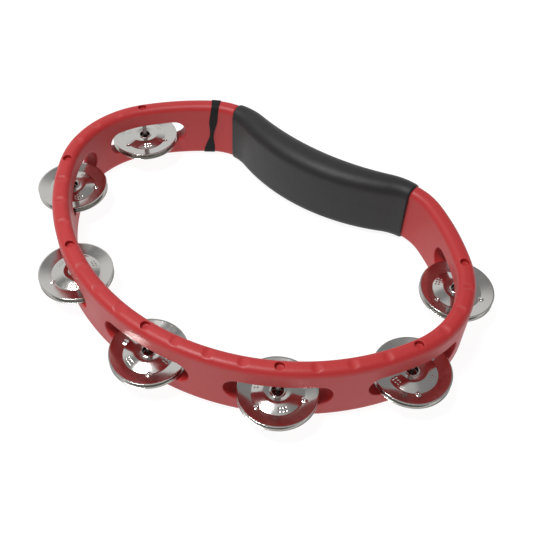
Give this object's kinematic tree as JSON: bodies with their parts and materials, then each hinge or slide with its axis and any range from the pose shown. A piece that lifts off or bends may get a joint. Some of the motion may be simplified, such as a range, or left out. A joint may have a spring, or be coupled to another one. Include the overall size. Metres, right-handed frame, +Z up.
{
  "type": "tambourine",
  "caption": "Headless hand tambourine: bean-shaped red plastic rim with an inward-bowed, sleeved handle and pairs of steel jingles on pins in through slots.",
  "frame": {"origin": "under the middle of the whole tambourine, jingles included, on the plane it lies on", "axes": "+Z up through the rim's depth, +Y from the front of the rim to the handle, +X along the handle to the right"},
  "size_m": [0.3178, 0.2254, 0.0469],
  "materials": {
    "red_plastic": "satin moulded red ABS",
    "nickel_steel": "polished nickel-plated steel sheet and pin",
    "black_foam": "smooth matt black soft sleeve",
    "black_elastic": "matt black elastic"
  },
  "bodies": {
    "frame": {"rim_frame": "red_plastic", "grip_sleeve": "black_foam", "elastic_band": "black_elastic"},
    "pin_1": {"jingle_pin_1": "nickel_steel"},
    "lower_1": {"lower_jingle_1": "nickel_steel"},
    "upper_1": {"upper_jingle_1": "nickel_steel"},
    "pin_2": {"jingle_pin_2": "nickel_steel"},
    "lower_2": {"lower_jingle_2": "nickel_steel"},
    "upper_2": {"upper_jingle_2": "nickel_steel"},
    "pin_3": {"jingle_pin_3": "nickel_steel"},
    "lower_3": {"lower_jingle_3": "nickel_steel"},
    "upper_3": {"upper_jingle_3": "nickel_steel"},
    "pin_4": {"jingle_pin_4": "nickel_steel"},
    "lower_4": {"lower_jingle_4": "nickel_steel"},
    "upper_4": {"upper_jingle_4": "nickel_steel"},
    "pin_5": {"jingle_pin_5": "nickel_steel"},
    "lower_5": {"lower_jingle_5": "nickel_steel"},
    "upper_5": {"upper_jingle_5": "nickel_steel"},
    "pin_6": {"jingle_pin_6": "nickel_steel"},
    "lower_6": {"lower_jingle_6": "nickel_steel"},
    "upper_6": {"upper_jingle_6": "nickel_steel"},
    "pin_7": {"jingle_pin_7": "nickel_steel"},
    "lower_7": {"lower_jingle_7": "nickel_steel"},
    "upper_7": {"upper_jingle_7": "nickel_steel"}
  },
  "joints": [
    {"name": "jingle_spin_1", "type": "hinge", "parent": "frame", "child": "pin_1", "pos_m": [-0.1295, 0.06319, 0.0147], "axis": [0, 0, 1], "continuous": true},
    {"name": "lower_jingle_slide_1", "type": "slide", "parent": "pin_1", "child": "lower_1", "axis": [0, 0, 1], "range_m": [0, 0.0058]},
    {"name": "upper_jingle_slide_1", "type": "slide", "parent": "lower_1", "child": "upper_1", "axis": [0, 0, 1], "range_m": [0, 0.0058]},
    {"name": "jingle_spin_2", "type": "hinge", "parent": "frame", "child": "pin_2", "pos_m": [-0.13493, -0.00958, 0.0147], "axis": [0, 0, 1], "continuous": true},
    {"name": "lower_jingle_slide_2", "type": "slide", "parent": "pin_2", "child": "lower_2", "axis": [0, 0, 1], "range_m": [0, 0.0058]},
    {"name": "upper_jingle_slide_2", "type": "slide", "parent": "lower_2", "child": "upper_2", "axis": [0, 0, 1], "range_m": [0, 0.0058]},
    {"name": "jingle_spin_3", "type": "hinge", "parent": "frame", "child": "pin_3", "pos_m": [-0.07821, -0.06747, 0.0147], "axis": [0, 0, 1], "continuous": true},
    {"name": "lower_jingle_slide_3", "type": "slide", "parent": "pin_3", "child": "lower_3", "axis": [0, 0, 1], "range_m": [0, 0.0058]},
    {"name": "upper_jingle_slide_3", "type": "slide", "parent": "lower_3", "child": "upper_3", "axis": [0, 0, 1], "range_m": [0, 0.0058]},
    {"name": "jingle_spin_4", "type": "hinge", "parent": "frame", "child": "pin_4", "pos_m": [0, -0.08871, 0.0147], "axis": [0, 0, 1], "continuous": true},
    {"name": "lower_jingle_slide_4", "type": "slide", "parent": "pin_4", "child": "lower_4", "axis": [0, 0, 1], "range_m": [0, 0.0058]},
    {"name": "upper_jingle_slide_4", "type": "slide", "parent": "lower_4", "child": "upper_4", "axis": [0, 0, 1], "range_m": [0, 0.0058]},
    {"name": "jingle_spin_5", "type": "hinge", "parent": "frame", "child": "pin_5", "pos_m": [0.07821, -0.06747, 0.0147], "axis": [0, 0, 1], "continuous": true},
    {"name": "lower_jingle_slide_5", "type": "slide", "parent": "pin_5", "child": "lower_5", "axis": [0, 0, 1], "range_m": [0, 0.0058]},
    {"name": "upper_jingle_slide_5", "type": "slide", "parent": "lower_5", "child": "upper_5", "axis": [0, 0, 1], "range_m": [0, 0.0058]},
    {"name": "jingle_spin_6", "type": "hinge", "parent": "frame", "child": "pin_6", "pos_m": [0.13493, -0.00958, 0.0147], "axis": [0, 0, 1], "continuous": true},
    {"name": "lower_jingle_slide_6", "type": "slide", "parent": "pin_6", "child": "lower_6", "axis": [0, 0, 1], "range_m": [0, 0.0058]},
    {"name": "upper_jingle_slide_6", "type": "slide", "parent": "lower_6", "child": "upper_6", "axis": [0, 0, 1], "range_m": [0, 0.0058]},
    {"name": "jingle_spin_7", "type": "hinge", "parent": "frame", "child": "pin_7", "pos_m": [0.1295, 0.06319, 0.0147], "axis": [0, 0, 1], "continuous": true},
    {"name": "lower_jingle_slide_7", "type": "slide", "parent": "pin_7", "child": "lower_7", "axis": [0, 0, 1], "range_m": [0, 0.0058]},
    {"name": "upper_jingle_slide_7", "type": "slide", "parent": "lower_7", "child": "upper_7", "axis": [0, 0, 1], "range_m": [0, 0.0058]}
  ]
}
